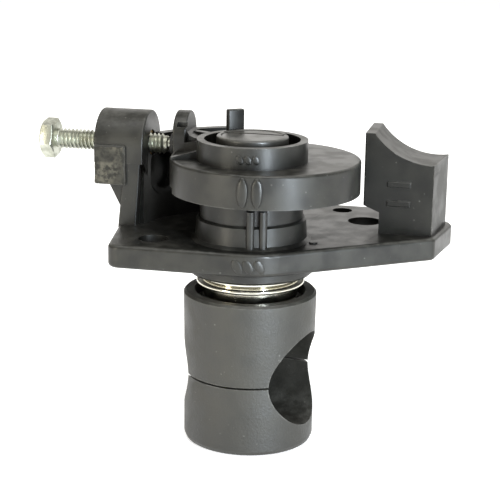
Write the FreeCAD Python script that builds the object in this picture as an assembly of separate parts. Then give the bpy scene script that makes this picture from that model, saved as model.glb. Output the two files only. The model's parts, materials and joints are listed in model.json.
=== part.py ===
import FreeCAD, Part
import math
import os

# Swivel bracket with a split clamp for a round tube.
# Units are millimetres. +Z runs up the swivel axis and +X runs along the tube bore.
# The origin is the centre of the tube bore, on the swivel axis.

V = FreeCAD.Vector
UP = V(0, 0, 1)
ORIGIN = V(0, 0, 0)

# ---- overall sizes ----
TUBE_D = 28.6            # tube that the clamp grips
CLAMP_D = 40.2           # outside of the split clamp
CLAMP_TOP = 25.4         # rim of the cup above the bore centre
CLAMP_BOTTOM = 21.4      # underside of the lower jaw below the bore centre
PLATE_TOP = 41.4         # top surface of the base plate
PLATE_T = 7.0            # plate thickness
REST_ANGLE = 14.0        # plate and rotor turned about +Z from the bore axis

# ---- clearances ----
RUN = 0.05               # radial, shaft in bush
FACE = 0.1               # between faces that turn on each other
FREE = 0.4               # between moving pieces that must never touch

# ---- clamp jaws ----
JAW_GAP = 0.6            # split line with the tube gripped
WAIST = 0.5              # jaws are this much slimmer in radius at the split
WAIST_H = 9.0
RIM_ROUND = 0.7
BOTTOM_ROUND = 1.6
CUP_R = 16.8
CUP_FLOOR = 22.0

# ---- clamp screws, M2.5 socket head, either side of the bore ----
SIDE_Y = 16.75
SIDE_D = 2.5
SIDE_HOLE_D = 2.9
SIDE_SEAT = -14.4        # face under the washer
SIDE_WASHER_T = 0.5
SIDE_WASHER_D = 4.9
SIDE_HEAD_D = 4.5
SIDE_HEAD_H = 2.5
SIDE_SOCKET = 2.0
SIDE_SOCKET_DEEP = 1.3
SIDE_TIP = 5.6
SIDE_POCKET_D = 5.1
INSERT_D = 3.6
INSERT_H = 6.0

# ---- spindle ----
HEX_AF = 13.0
HEX_H = 4.6
HEX_FLOOR = 14.6         # underside of the head, clear of the tube
SHAFT_D = 8.0
SHAFT_TOP = PLATE_TOP + 29.1
FLATS_AF = 6.6
KEYED_FROM = PLATE_TOP + 13.5

# ---- hub ----
WASHER_T = 1.9
HUB_R = 16.4
HUB_H = 6.8              # lower, wider part above the plate
NECK_R = 15.4
NECK_TOP = PLATE_TOP + 12.2
HUB_RIB_W = 2.4
HUB_RIB_OUT = 1.1
HUB_RIB_ANGLES = (-79.0, -66.0)
UNDER_R = 19.2
UNDER_H = 3.0
SPIGOT_R = 11.9
BUSH_R = 6.0
BUSH_FLANGE_R = 8.6
BUSH_FLANGE_T = 1.0

# ---- flange ring ----
RING_BAND_R = 15.0
RING_LIP_R = 16.3
RING_SKIRT_R = 14.3
RING_LIP_LOW = 27.5
RING_LIP_HIGH = 29.1

# ---- rotor ----
ROTOR_R = 28.6
ROTOR_X = 3.0
ROTOR_Y = 5.0
ROTOR_LOW = PLATE_TOP + 13.6
ROTOR_H = 9.9
ROTOR_ROUND = 0.8
COLLAR_R = 16.5
COLLAR_BORE_R = 14.3
COLLAR_TOP = PLATE_TOP + 29.8
WELL_FLOOR = ROTOR_LOW + 3.0
CORE_WALL = 3.0
CORE_HUB_R = 17.6
CORE_RIBS = 12
CORE_RIB_T = 1.8

# ---- lug on the rotor ----
LUG_FACE_X = -26.7       # face the stop pad bears on
LUG_T = 4.2
LUG_Y = 15.0
LUG_R = 7.0
LUG_LOW = PLATE_TOP + 19.0
LUG_TOP = PLATE_TOP + 34.9
LUG_SLOT_Z = PLATE_TOP + 30.6
LUG_SLOT_H = 1.4

# ---- key in the gap of the collar ----
KEY_ANGLE = 127.4
KEY_R_IN = 11.3
KEY_T = 2.2
KEY_W = 5.2
KEY_SHOULDER_W = 6.6
KEY_SHOULDER_H = 1.4
KEY_FOOT = NECK_TOP - 2.2
KEY_TOP = PLATE_TOP + 36.8
GROOVE_DEEP = 2.8
SWING = 90.0

# ---- tension stack ----
SPRING_COUNT = 4
SPRING_R = 8.6
SPRING_T = 0.6
SPRING_RISE = 0.75       # height of one disc's cone
SPRING_SEAT_T = 1.0
PRESS_T = 1.2
PRESS_R = 10.2
NUT_R = 10.7
NUT_TOP = PLATE_TOP + 31.0
NUT_H = 6.6
NUT_SLOT_W = 1.3
NUT_SLOT_DEEP = 1.2
NUT_SLOT_Y = 3.2

# ---- stop screw, 1/4"-20 ----
SCREW_Y = 14.5
SCREW_Z = PLATE_TOP + 24.2
SCREW_D = 6.35
SCREW_HEAD_AF = 11.1
SCREW_HEAD_LOW = -70.0
SCREW_HEAD_H = 4.4
PAD_D = 6.6
PAD_T = 1.7
PAD_SOCKET_DEEP = 0.9
DOG_D = 3.3

# ---- boss, post and wall ----
BOSS_X0 = -50.6
BOSS_X1 = -35.0
BOSS_R = 10.3
BOSS_LOW = PLATE_TOP + 19.2
BLOCK_X1 = -40.4
BLOCK_LOW = PLATE_TOP + 12.6
INSERT_X0 = -44.0
INSERT_R = 4.2
WALL_R_IN = 36.4
WALL_T = 3.2
WALL_H = 27.0
WALL_FROM = 114.0
WALL_TO = 168.0
WINDOW_ANGLE = 152.0
WINDOW_HALF_W = 4.6
WINDOW_WEB = 1.2
WINDOW_LOW = PLATE_TOP + 9.6
WINDOW_HIGH = PLATE_TOP + 21.6

# ---- saddle ----
SADDLE_X0 = 36.4
SADDLE_X1 = 52.4
SADDLE_SKEW = 2.8        # the right side leans out this much towards the back
SADDLE_FLANGE_X = 31.5
SADDLE_FLANGE_LOW = PLATE_TOP + 8.5
SADDLE_Y0 = 14.9
SADDLE_Y1 = 34.5
SADDLE_HORN_X = 34.4
ARC_X = 52.0
ARC_Z = PLATE_TOP + 43.5
ARC_R = 21.8

# ---- plate outline, corner points with the round of each ----
OUTLINE = [
    (-38.6, -21.0, 4.0),
    (53.8, 12.8, 2.5),
    (57.8, 36.0, 5.0),
    (31.0, 51.0, 8.0),
    (-22.0, 51.0, 12.0),
    (-47.0, 24.0, 8.0),
    (-42.6, 3.0, 6.0),
]
SADDLE_SCREWS = [(44.0, 20.0), (48.0, 30.6)]
SADDLE_SCREW_D = 3.5
SADDLE_HEAD_D = 7.0
PLATE_HUB_R = 21.0
EDGE_ROUND = 1.2
PLATE_HOLES = [(-27.6, -9.8, 4.5), (30.4, 29.6, 5.4), (21.2, 42.8, 3.2)]
CORE_DEEP = 3.6
PLATE_WALL = 3.2
RIB_STEP = 13.0
RIB_T = 1.6


def cyl(r, z0, z1, x=0.0, y=0.0):
    """Upright cylinder from z0 to z1."""
    return Part.makeCylinder(r, z1 - z0, V(x, y, z0), UP)


def cyl_x(r, x0, x1, y, z):
    """Cylinder along X from x0 to x1."""
    return Part.makeCylinder(r, x1 - x0, V(x0, y, z), V(1, 0, 0))


def box(x0, x1, y0, y1, z0, z1):
    """Box between two corners."""
    return Part.makeBox(x1 - x0, y1 - y0, z1 - z0, V(x0, y0, z0))


def ring(r_out, r_in, z0, z1):
    """Flat ring or tube about the swivel axis."""
    return cyl(r_out, z0, z1).cut(cyl(r_in, z0 - 1, z1 + 1))


def hexagon(across, z0, z1):
    """Upright hexagonal prism about the swivel axis."""
    r = across / math.sqrt(3)
    pts = []
    for i in range(7):
        a = math.radians(60 * i)
        pts.append(V(r * math.cos(a), r * math.sin(a), z0))
    return Part.Face(Part.makePolygon(pts)).extrude(V(0, 0, z1 - z0))


def turned(points):
    """Solid of revolution about the swivel axis from (radius, z) points."""
    pts = [V(r, 0, z) for r, z in points]
    pts.append(pts[0])
    return Part.Face(Part.makePolygon(pts)).revolve(ORIGIN, UP, 360)


def sector(r_out, r_in, a0, a1, z0, z1):
    """Curved wall between two angles about the swivel axis."""
    def at(r, deg):
        a = math.radians(deg)
        return V(r * math.cos(a), r * math.sin(a), z0)
    mid = (a0 + a1) / 2
    outer = Part.Arc(at(r_out, a0), at(r_out, mid), at(r_out, a1)).toShape()
    inner = Part.Arc(at(r_in, a1), at(r_in, mid), at(r_in, a0)).toShape()
    side1 = Part.makeLine(at(r_out, a1), at(r_in, a1))
    side0 = Part.makeLine(at(r_in, a0), at(r_out, a0))
    wire = Part.Wire([outer, side1, inner, side0])
    return Part.Face(wire).extrude(V(0, 0, z1 - z0))


def rounded_outline(corners, z):
    """Closed wire through corner points, each with its own round."""
    n = len(corners)
    edges = []
    ends = []
    for i in range(n):
        px, py, _ = corners[i - 1]
        cx, cy, r = corners[i]
        nx, ny, _ = corners[(i + 1) % n]
        a = V(px - cx, py - cy, 0).normalize()
        b = V(nx - cx, ny - cy, 0).normalize()
        half = math.acos(max(-1, min(1, a.dot(b)))) / 2
        back = r / math.tan(half)
        c = V(cx, cy, z)
        p0 = c + a * back
        p1 = c + b * back
        mid_dir = (a + b).normalize()
        centre = c + mid_dir * (r / math.sin(half))
        mid = centre - mid_dir * r
        edges.append(Part.Arc(p0, mid, p1).toShape())
        ends.append((p0, p1))
    wire = []
    for i in range(n):
        wire.append(edges[i])
        p1 = ends[i][1]
        q0 = ends[(i + 1) % n][0]
        if p1.distanceToPoint(q0) > 1e-6:
            wire.append(Part.makeLine(p1, q0))
    return Part.Wire(wire)


def rounded(shape, size, wanted):
    """Fillet the edges that wanted() picks by their box."""
    picked = [e for e in shape.Edges if wanted(e.BoundBox)]
    return shape.makeFillet(size, picked)


def bore_along_x(extra=0.0):
    """The space that the tube takes."""
    r = TUBE_D / 2 + extra
    reach = CLAMP_D / 2 + 2
    return cyl_x(r, -reach, reach, 0, 0)


def jaw_profile(inner_top):
    """Outside of both jaws as one turned body, slimmer at the split."""
    r = CLAMP_D / 2
    low_r = r - 0.3
    return turned([
        (0, -CLAMP_BOTTOM),
        (low_r - BOTTOM_ROUND, -CLAMP_BOTTOM),
        (low_r - BOTTOM_ROUND * 0.3, -CLAMP_BOTTOM + BOTTOM_ROUND * 0.3),
        (low_r, -CLAMP_BOTTOM + BOTTOM_ROUND),
        (low_r, -WAIST_H),
        (r - WAIST, 0),
        (r - 0.2, WAIST_H),
        (r, inner_top - RIM_ROUND * 3),
        (r, inner_top - RIM_ROUND),
        (r - RIM_ROUND, inner_top),
        (0, inner_top),
    ])


def upper_jaw():
    reach = CLAMP_D
    body = jaw_profile(CLAMP_TOP).common(box(-reach, reach, -reach, reach, JAW_GAP / 2, CLAMP_TOP + 1))
    body = body.cut(bore_along_x())
    body = body.cut(cyl(CUP_R, CUP_FLOOR, CLAMP_TOP + 1))
    body = body.cut(hexagon(HEX_AF + 2 * RUN, 0, HEX_FLOOR + HEX_H))
    body = body.cut(cyl(SHAFT_D / 2 + RUN, HEX_FLOOR, CLAMP_TOP))
    for side in (-1, 1):
        body = body.cut(cyl(INSERT_D / 2, 0, JAW_GAP / 2 + INSERT_H + 0.6, 0, side * SIDE_Y))
    return body


def jaw_inserts():
    solids = []
    for side in (-1, 1):
        z0 = JAW_GAP / 2
        one = cyl(INSERT_D / 2, z0, z0 + INSERT_H, 0, side * SIDE_Y)
        for k in range(3):
            zc = z0 + 1.5 + 1.5 * k
            groove = cyl(INSERT_D / 2 + 1, zc, zc + 0.4, 0, side * SIDE_Y)
            core = cyl(INSERT_D / 2 - 0.2, zc, zc + 0.4, 0, side * SIDE_Y)
            one = one.cut(groove.cut(core))
        one = one.cut(cyl(SIDE_D / 2 + RUN, z0 - 1, z0 + INSERT_H + 1, 0, side * SIDE_Y))
        solids.append(one)
    return Part.makeCompound(solids)


def lower_jaw():
    reach = CLAMP_D
    body = jaw_profile(CLAMP_TOP).common(box(-reach, reach, -reach, reach, -CLAMP_BOTTOM - 1, -JAW_GAP / 2))
    body = body.cut(bore_along_x())
    for side in (-1, 1):
        body = body.cut(cyl(SIDE_HOLE_D / 2, -CLAMP_BOTTOM - 1, 1, 0, side * SIDE_Y))
        body = body.cut(cyl(SIDE_POCKET_D / 2, -CLAMP_BOTTOM - 1, SIDE_SEAT, 0, side * SIDE_Y))
    return body


def clamp_screw(side):
    y = side * SIDE_Y
    under = SIDE_SEAT - SIDE_WASHER_T
    head = cyl(SIDE_HEAD_D / 2, under - SIDE_HEAD_H, under, 0, y)
    head = rounded(head, 0.35, lambda b: b.ZMax < under - SIDE_HEAD_H + 0.01)
    body = head.fuse(cyl(SIDE_D / 2, under - 0.5, SIDE_TIP, 0, y))
    socket = hexagon(SIDE_SOCKET, under - SIDE_HEAD_H - 1, under - SIDE_HEAD_H + SIDE_SOCKET_DEEP)
    socket.translate(V(0, y, 0))
    return body.cut(socket).removeSplitter()


def clamp_washers():
    solids = []
    for side in (-1, 1):
        y = side * SIDE_Y
        disc = cyl(SIDE_WASHER_D / 2, SIDE_SEAT - SIDE_WASHER_T, SIDE_SEAT, 0, y)
        solids.append(disc.cut(cyl(SIDE_D / 2 + RUN, SIDE_SEAT - 2, SIDE_SEAT + 2, 0, y)))
    return Part.makeCompound(solids)


def spindle():
    head = hexagon(HEX_AF, HEX_FLOOR, HEX_FLOOR + HEX_H)
    head = head.common(cyl(HEX_AF / math.sqrt(3) - 0.3, HEX_FLOOR - 1, HEX_FLOOR + HEX_H + 1))
    head.rotate(ORIGIN, UP, -REST_ANGLE)
    shaft = cyl(SHAFT_D / 2, HEX_FLOOR + 1, SHAFT_TOP)
    shaft = shaft.makeChamfer(0.7, [e for e in shaft.Edges if e.BoundBox.ZMin > SHAFT_TOP - 0.01])
    for side in (-1, 1):
        y0 = FLATS_AF / 2 if side > 0 else -SHAFT_D
        y1 = SHAFT_D if side > 0 else -FLATS_AF / 2
        shaft = shaft.cut(box(-9, 9, y0, y1, KEYED_FROM, WELL_FLOOR + RUN))
    return head.fuse(shaft).removeSplitter()


def thrust_washer():
    return ring(CUP_R - 2.4, SHAFT_D / 2 + RUN, CUP_FLOOR, CUP_FLOOR + WASHER_T)


def flange_ring():
    low = CUP_FLOOR + WASHER_T + FACE
    top = PLATE_TOP - PLATE_T - UNDER_H
    mid = (RING_LIP_LOW + RING_LIP_HIGH) / 2
    return turned([
        (SPIGOT_R, low + 0.2),
        (RING_SKIRT_R - 0.4, low),
        (RING_SKIRT_R, low + 0.4),
        (RING_SKIRT_R, RING_LIP_LOW - 0.5),
        (RING_LIP_R - 0.5, RING_LIP_LOW),
        (RING_LIP_R, mid - 0.3),
        (RING_LIP_R, mid + 0.3),
        (RING_LIP_R - 0.5, RING_LIP_HIGH),
        (RING_BAND_R, RING_LIP_HIGH + 0.4),
        (RING_BAND_R, top),
        (SPIGOT_R, top),
    ])


def hub_bush():
    shaft_r = SHAFT_D / 2 + RUN
    z0 = NECK_TOP - 14
    tube = ring(BUSH_R, shaft_r, z0, NECK_TOP)
    return tube.fuse(ring(BUSH_FLANGE_R, shaft_r, NECK_TOP - BUSH_FLANGE_T, NECK_TOP)).removeSplitter()


def rotor_washer():
    return ring(10.0, SHAFT_D / 2 + RUN, NECK_TOP + FACE, ROTOR_LOW)


def plate_corners():
    """Outline corners in order, with the hub's tangent point added."""
    x, y, _ = OUTLINE[1]
    far = math.hypot(x, y)
    a = math.atan2(y, x) - math.acos(PLATE_HUB_R / far)
    tx = PLATE_HUB_R * math.cos(a)
    ty = PLATE_HUB_R * math.sin(a)
    # the front edge and the tangent line meet just outside the hub circle
    slope = (y - ty) / (x - tx)
    front_y = OUTLINE[0][1]
    meet_x = tx + (front_y - ty) / slope
    return [OUTLINE[0], (meet_x, front_y, PLATE_HUB_R - 1.0)] + OUTLINE[1:]


def plate_body():
    low = PLATE_TOP - PLATE_T
    corners = plate_corners()
    solid = Part.Face(rounded_outline(corners, low)).extrude(V(0, 0, PLATE_T))
    rims = [e for e in solid.Edges if e.BoundBox.ZLength < 0.001]
    solid = solid.makeFillet(EDGE_ROUND, rims)
    for x, y, r in PLATE_HOLES:
        solid = solid.cut(cyl(r, low - 1, PLATE_TOP + 1, x, y))
    return solid.cut(plate_core(low, corners))


def plate_core(low, corners):
    """Shallow pockets under the plate, left between straight ribs."""
    face = Part.Face(rounded_outline(corners, low))
    inner = face.makeOffset2D(-PLATE_WALL)
    core = inner.extrude(V(0, 0, CORE_DEEP))
    core = core.cut(cyl(UNDER_R + 1.6, low - 1, PLATE_TOP))
    for x, y, r in PLATE_HOLES:
        core = core.cut(cyl(r + 2.2, low - 1, PLATE_TOP, x, y))
    for x, y in SADDLE_SCREWS:
        core = core.cut(cyl(SADDLE_HEAD_D / 2 + 1.8, low - 1, PLATE_TOP, x, y))
    count = 12
    for i in range(-count // 2, count // 2 + 1):
        mid = i * RIB_STEP
        core = core.cut(box(mid - RIB_T / 2, mid + RIB_T / 2, -80, 80, low - 1, PLATE_TOP))
        core = core.cut(box(-80, 80, mid - RIB_T / 2, mid + RIB_T / 2, low - 1, PLATE_TOP))
    return core


def hub_body():
    """Hub above and below the plate, with the spigot the ring sits on."""
    low = PLATE_TOP - PLATE_T
    spigot_low = CUP_FLOOR + WASHER_T + FACE
    hub = turned([
        (0, spigot_low),
        (SPIGOT_R, spigot_low),
        (SPIGOT_R, low - UNDER_H),
        (UNDER_R - 0.8, low - UNDER_H),
        (UNDER_R, low - UNDER_H + 0.8),
        (UNDER_R, PLATE_TOP - 1.2),
        (UNDER_R - 0.5, PLATE_TOP - 0.5),
        (HUB_R + 0.4, PLATE_TOP + 0.9),
        (HUB_R, PLATE_TOP + HUB_H - 0.6),
        (HUB_R - 0.6, PLATE_TOP + HUB_H),
        (NECK_R, PLATE_TOP + HUB_H),
        (NECK_R, NECK_TOP),
        (0, NECK_TOP),
    ])
    for deg in HUB_RIB_ANGLES:
        rib = box(NECK_R - 2, HUB_R + HUB_RIB_OUT, -HUB_RIB_W / 2, HUB_RIB_W / 2,
                  PLATE_TOP - 1, NECK_TOP - 0.8)
        edges = [e for e in rib.Edges if e.BoundBox.XMin > HUB_R and e.BoundBox.ZLength > 3]
        rib = rib.makeFillet(HUB_RIB_OUT * 0.9, edges)
        rib.rotate(ORIGIN, UP, deg)
        hub = hub.fuse(rib)
    return hub


def hub_cuts():
    """Central bore, bush seat and the curved groove of the key."""
    spigot_low = CUP_FLOOR + WASHER_T
    z0 = NECK_TOP - 14
    cuts = [cyl(SHAFT_D / 2 + FREE, spigot_low - 1, NECK_TOP + 1)]
    cuts.append(cyl(BUSH_R, z0, NECK_TOP + 1))
    cuts.append(cyl(BUSH_FLANGE_R, NECK_TOP - BUSH_FLANGE_T, NECK_TOP + 1))
    spare = math.degrees((KEY_W / 2 + FREE) / KEY_R_IN)
    a1 = KEY_ANGLE + spare
    a0 = KEY_ANGLE - SWING - spare
    r_in = KEY_R_IN - 0.3
    r_out = math.hypot(KEY_R_IN + KEY_T, KEY_W / 2) + 0.3
    cuts.append(sector(r_out, r_in, a0, a1, NECK_TOP - GROOVE_DEEP, NECK_TOP + 1))
    return cuts


def screw_boss():
    """Boss for the stop screw with its rough block, post and gusset."""
    base = PLATE_TOP - 1
    barrel = cyl_x(BOSS_R, BOSS_X0, BOSS_X1, SCREW_Y, SCREW_Z)
    y0 = SCREW_Y - BOSS_R
    y1 = SCREW_Y + BOSS_R
    skirt = box(BOSS_X0, BOSS_X1, y0, y1, BOSS_LOW, SCREW_Z)
    top = barrel.fuse(skirt).removeSplitter()
    mouth = [e for e in top.Edges if e.BoundBox.XLength < 0.001 and e.BoundBox.ZMax > SCREW_Z + 1]
    top = top.makeFillet(0.6, mouth)
    block = wedge_prism([
        (BOSS_X0 + 0.3, SCREW_Z + 0.6),
        (BOSS_X0 + 1.4, BLOCK_LOW),
        (BLOCK_X1, BLOCK_LOW),
        (BLOCK_X1, SCREW_Z + 0.6),
    ], y0 - 0.5, y0 + 14)
    block = block.makeFillet(0.5, [e for e in block.Edges if e.BoundBox.YLength > 5])
    gusset = wedge_prism([
        (BOSS_X0 + 4.4, BLOCK_LOW + 0.5),
        (-42.6, BLOCK_LOW - 6.6),
        (-39.0, BLOCK_LOW - 6.6),
        (-39.0, BLOCK_LOW + 0.5),
    ], y0 + 1.0, y0 + 4.0)
    post = wedge_prism([
        (-43.2, base),
        (-41.0, BOSS_LOW + 1),
        (-35.8, BOSS_LOW + 1),
        (-37.4, base),
    ], y0 + 0.3, y1)
    post = post.makeFillet(0.6, [e for e in post.Edges if e.BoundBox.ZLength > 5])
    keep = post
    for k in range(2):
        y2 = y0 + 6.6 + 6.4 * k
        keep = keep.cut(box(-60, -39.4, y2, y2 + 5.0, PLATE_TOP + 2.5, BLOCK_LOW - 2.5))
    return [top, block, gusset, keep]


def wedge_prism(points, y0, y1):
    """Prism along Y from (x, z) points."""
    pts = [V(x, y0, z) for x, z in points]
    pts.append(pts[0])
    return Part.Face(Part.makePolygon(pts)).extrude(V(0, y1 - y0, 0))


def curved_wall():
    """Wall behind the rotor, with its rimmed recess under the boss."""
    r_out = WALL_R_IN + WALL_T
    top = PLATE_TOP + WALL_H
    wall = sector(r_out, WALL_R_IN, WALL_FROM, WALL_TO, PLATE_TOP - 1, top)
    mid_z = (WINDOW_LOW + WINDOW_HIGH) / 2
    half_h = (WINDOW_HIGH - WINDOW_LOW) / 2
    round_r = WINDOW_HALF_W
    straight = half_h - round_r
    x0 = WALL_R_IN - 3
    x1 = r_out - WINDOW_WEB
    window = box(x0, x1, -round_r, round_r, mid_z - straight, mid_z + straight)
    for s in (-1, 1):
        end = cyl_x(round_r, x0, x1, 0, mid_z + s * straight)
        window = window.fuse(end)
    rim = box(WALL_R_IN - 0.5, r_out + 0.5, -round_r - 1.6, round_r + 1.6,
              mid_z - straight, mid_z + straight)
    for s in (-1, 1):
        end = cyl_x(round_r + 1.6, WALL_R_IN - 0.5, r_out + 0.5, 0, mid_z + s * straight)
        rim = rim.fuse(end)
    for piece in (window, rim):
        piece.rotate(ORIGIN, UP, WINDOW_ANGLE)
    wall = wall.fuse(rim).cut(window)
    for deg in (119.0, 138.0):
        fin = wedge_prism([
            (r_out - 1, PLATE_TOP - 1),
            (r_out + 6.0, PLATE_TOP - 1),
            (r_out + 6.0, PLATE_TOP + 1),
            (r_out + 0.6, top - 3),
            (r_out - 1, top - 3),
        ], -1.1, 1.1)
        fin.rotate(ORIGIN, UP, deg)
        wall = wall.fuse(fin)
    return wall


def saddle_body():
    """Upright saddle with a concave top, cored from behind."""
    base = PLATE_TOP
    arc_left = V(SADDLE_HORN_X, SADDLE_Y0, ARC_Z - math.sqrt(ARC_R ** 2 - (ARC_X - SADDLE_HORN_X) ** 2))
    far_x = SADDLE_X1 + SADDLE_SKEW + 1
    arc_right = V(far_x, SADDLE_Y0, ARC_Z - math.sqrt(ARC_R ** 2 - (ARC_X - far_x) ** 2))
    a = math.radians(250)
    arc_mid = V(ARC_X + ARC_R * math.cos(a), SADDLE_Y0, ARC_Z + ARC_R * math.sin(a))
    top_left = V(SADDLE_FLANGE_X, SADDLE_Y0, arc_left.z)
    edges = [
        Part.makeLine(V(SADDLE_X0, SADDLE_Y0, base), V(SADDLE_X0, SADDLE_Y0, SADDLE_FLANGE_LOW - 2)),
        Part.makeLine(V(SADDLE_X0, SADDLE_Y0, SADDLE_FLANGE_LOW - 2),
                      V(SADDLE_FLANGE_X, SADDLE_Y0, SADDLE_FLANGE_LOW)),
        Part.makeLine(V(SADDLE_FLANGE_X, SADDLE_Y0, SADDLE_FLANGE_LOW), top_left),
        Part.makeLine(top_left, arc_left),
        Part.Arc(arc_left, arc_mid, arc_right).toShape(),
        Part.makeLine(arc_right, V(far_x, SADDLE_Y0, base)),
        Part.makeLine(V(far_x, SADDLE_Y0, base), V(SADDLE_X0, SADDLE_Y0, base)),
    ]
    solid = Part.Face(Part.Wire(edges)).extrude(V(0, SADDLE_Y1 - SADDLE_Y0, 0))
    left = [e for e in solid.Edges
            if e.BoundBox.XMax < SADDLE_FLANGE_X + 0.01 and e.BoundBox.ZLength > 5]
    solid = solid.makeChamfer(0.4, left)
    depth = SADDLE_Y1 - SADDLE_Y0
    trim = Part.Face(Part.makePolygon([
        V(SADDLE_X1, SADDLE_Y0 - 1, base - 1),
        V(SADDLE_X1 + 30, SADDLE_Y0 - 1, base - 1),
        V(SADDLE_X1 + 30, SADDLE_Y1 + 1, base - 1),
        V(SADDLE_X1 + SADDLE_SKEW * (depth + 1) / depth, SADDLE_Y1 + 1, base - 1),
        V(SADDLE_X1, SADDLE_Y0 - 1, base - 1),
    ])).extrude(V(0, 0, 60))
    solid = solid.cut(trim)
    for k in range(2):
        x0 = SADDLE_X0 + 2.6 + k * 6.6
        pocket = box(x0, x0 + 5.0, SADDLE_Y0 + 3.0, SADDLE_Y1 + 1, PLATE_TOP + 9.5, ARC_Z - ARC_R - 4.5)
        solid = solid.cut(pocket)
    for k in range(2):
        bar = box(SADDLE_X0 + 2.2, SADDLE_X0 + 9.4, SADDLE_Y0 - 0.45, SADDLE_Y0 + 1,
                  PLATE_TOP + 8.6 + 5.9 * k, PLATE_TOP + 10.4 + 5.9 * k)
        bar = bar.makeFillet(0.4, [e for e in bar.Edges if e.BoundBox.YMax < SADDLE_Y0])
        solid = solid.fuse(bar)
    return solid


def saddle():
    """Saddle with the two holes its screws cut their thread in."""
    body = saddle_body()
    for x, y in SADDLE_SCREWS:
        body = body.cut(cyl(SADDLE_SCREW_D / 2, PLATE_TOP - 1, PLATE_TOP + 8.5, x, y))
    return body.removeSplitter()


def saddle_screws():
    """Two countersunk screws up through the plate into the saddle."""
    low = PLATE_TOP - PLATE_T
    solids = []
    for x, y in SADDLE_SCREWS:
        r = SADDLE_SCREW_D / 2
        head = Part.makeCone(SADDLE_HEAD_D / 2, r, SADDLE_HEAD_D / 2 - r, V(x, y, low + 0.6), UP)
        one = head.fuse(cyl(r, low + 0.6, PLATE_TOP + 8.0, x, y))
        slot = box(x - SADDLE_HEAD_D, x + SADDLE_HEAD_D, y - 0.4, y + 0.4, low, low + 1.2)
        solids.append(one.cut(slot).removeSplitter())
    return Part.makeCompound(solids)


def base_plate():
    body = plate_body().fuse(hub_body())
    for piece in screw_boss():
        body = body.fuse(piece)
    body = body.fuse(curved_wall())
    for cut in hub_cuts():
        body = body.cut(cut)
    body = body.cut(cyl_x(INSERT_R, INSERT_X0, BOSS_X1 + 4.6, SCREW_Y, SCREW_Z))
    body = body.cut(cyl_x(SCREW_D / 2 + FREE, BOSS_X0 - 3, INSERT_X0 + 1, SCREW_Y, SCREW_Z))
    low = PLATE_TOP - PLATE_T
    for x, y in SADDLE_SCREWS:
        r = SADDLE_SCREW_D / 2
        body = body.cut(cyl(r, low - 1, PLATE_TOP + 1, x, y))
        body = body.cut(Part.makeCone(SADDLE_HEAD_D / 2 + 0.6, r, SADDLE_HEAD_D / 2 + 0.6 - r, V(x, y, low), UP))
    return body.removeSplitter()


def screw_insert():
    x1 = BOSS_X1 - 0.4
    one = cyl_x(INSERT_R, INSERT_X0, x1, SCREW_Y, SCREW_Z)
    for k in range(3):
        x = INSERT_X0 + 2.0 + 2.4 * k
        groove = cyl_x(INSERT_R + 1, x, x + 0.9, SCREW_Y, SCREW_Z)
        one = one.cut(groove.cut(cyl_x(INSERT_R - 0.5, x, x + 0.9, SCREW_Y, SCREW_Z)))
    return one.cut(cyl_x(SCREW_D / 2 + RUN, INSERT_X0 - 1, x1 + 1, SCREW_Y, SCREW_Z))


def stop_pad():
    x1 = LUG_FACE_X - FACE
    x0 = x1 - PAD_T
    pad = cyl_x(PAD_D / 2, x0, x1, SCREW_Y, SCREW_Z)
    pad = pad.makeFillet(0.4, [e for e in pad.Edges if e.BoundBox.XMin > x1 - 0.01])
    return pad.cut(cyl_x(DOG_D / 2 + RUN, x0 - 1, x0 + PAD_SOCKET_DEEP, SCREW_Y, SCREW_Z))


def stop_screw():
    tip = LUG_FACE_X - FACE - PAD_T - FACE
    dog_tip = tip + FACE + PAD_SOCKET_DEEP - FACE
    head_low = SCREW_HEAD_LOW
    head_high = head_low + SCREW_HEAD_H
    head = hexagon(SCREW_HEAD_AF, 0, SCREW_HEAD_H)
    cone = Part.makeCone(SCREW_HEAD_AF / 2 - 0.3, SCREW_HEAD_AF / 2 + 4, 2.6, ORIGIN, UP)
    rest = cyl(SCREW_HEAD_AF, 2.6, SCREW_HEAD_H + 1)
    head = head.common(cone.fuse(rest))
    head.rotate(ORIGIN, V(0, 1, 0), 90)
    head.rotate(ORIGIN, V(1, 0, 0), 12)
    head.translate(V(head_low, SCREW_Y, SCREW_Z))
    shank = cyl_x(SCREW_D / 2, head_high - 0.5, tip, SCREW_Y, SCREW_Z)
    shank = shank.makeChamfer(0.6, [e for e in shank.Edges if e.BoundBox.XMin > tip - 0.01])
    dog = cyl_x(DOG_D / 2, tip - 0.5, dog_tip, SCREW_Y, SCREW_Z)
    return head.fuse([shank, dog]).removeSplitter()


def rotor_core(low, high):
    """Pockets under the rotor, between radial ribs."""
    core = cyl(ROTOR_R - CORE_WALL, low - 1, high - CORE_WALL, ROTOR_X, ROTOR_Y)
    core = core.cut(cyl(CORE_HUB_R, low - 2, high))
    for i in range(CORE_RIBS):
        rib = box(0, 60, -CORE_RIB_T / 2, CORE_RIB_T / 2, low - 2, high)
        rib.rotate(ORIGIN, UP, i * 360.0 / CORE_RIBS)
        core = core.cut(rib)
    return core


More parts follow.
